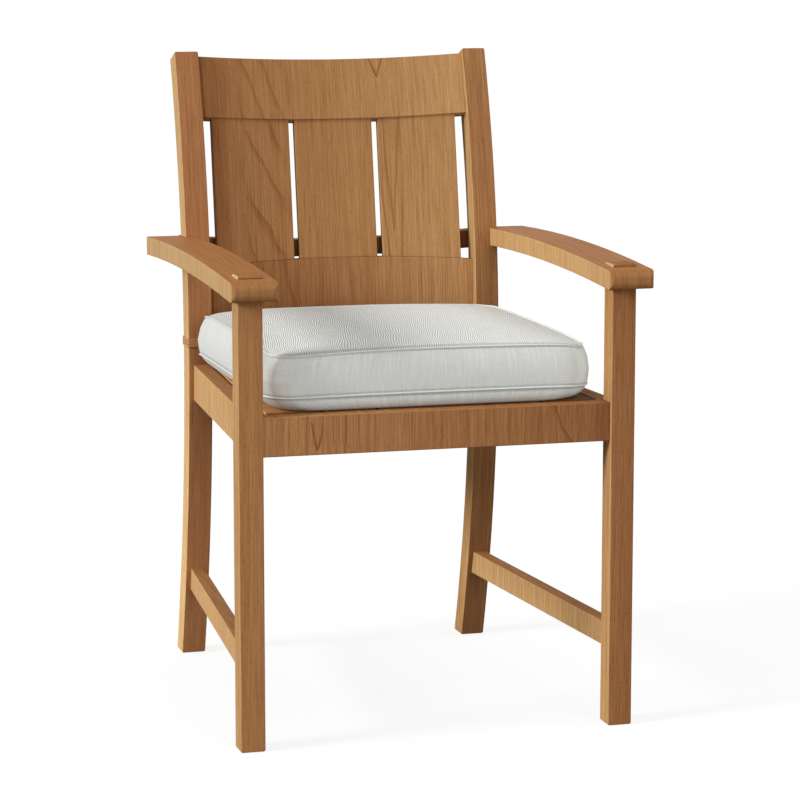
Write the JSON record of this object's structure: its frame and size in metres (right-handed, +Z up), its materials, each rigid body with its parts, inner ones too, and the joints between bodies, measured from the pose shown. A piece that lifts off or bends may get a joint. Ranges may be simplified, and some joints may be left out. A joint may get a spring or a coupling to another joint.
{
  "type": "wooden armchair",
  "caption": "Teak armchair with a slatted raked back, arched arms on the front legs, side stretchers and a loose box cushion on a slatted seat.",
  "frame": {"origin": "on the floor, in the middle of the chair's bounding box", "axes": "+Z up, the chair faces -Y, +X is to the right as seen by someone who looks at its front"},
  "size_m": [0.5776, 0.6464, 0.8995],
  "materials": {
    "teak": "oiled satin",
    "cushion_fabric": "woven",
    "cushion_foam": "open-cell foam",
    "tie_strap": "woven strap",
    "zip_tape": "matt"
  },
  "bodies": {
    "frame": {"front_leg_left": "teak", "front_leg_right": "teak", "rear_leg_left": "teak", "rear_leg_right": "teak", "armrest_left": "teak", "armrest_right": "teak", "arm_cross_rail": "teak", "top_rail": "teak", "lower_back_rail": "teak", "back_slat_left": "teak", "back_slat_centre": "teak", "back_slat_right": "teak", "front_seat_rail": "teak", "rear_seat_rail": "teak", "side_seat_rail_left": "teak", "side_seat_rail_right": "teak", "side_stretcher_left": "teak", "side_stretcher_right": "teak", "seat_slat_1": "teak", "seat_slat_2": "teak", "seat_slat_3": "teak", "seat_slat_4": "teak", "seat_slat_5": "teak", "seat_slat_6": "teak", "seat_cleat_front": "teak", "seat_cleat_rear": "teak", "cushion_tie_left": "tie_strap", "cushion_tie_right": "tie_strap"},
    "cushion": {"cushion_cover": "cushion_fabric", "cushion_foam": "cushion_foam", "cushion_zip": "zip_tape", "cushion_welt_upper": "cushion_fabric", "cushion_welt_lower": "cushion_fabric"}
  },
  "joints": [
    {"name": "cushion_lift", "type": "slide", "parent": "frame", "child": "cushion", "axis": [0, 0, 1], "range_m": [0, 0.08]}
  ]
}
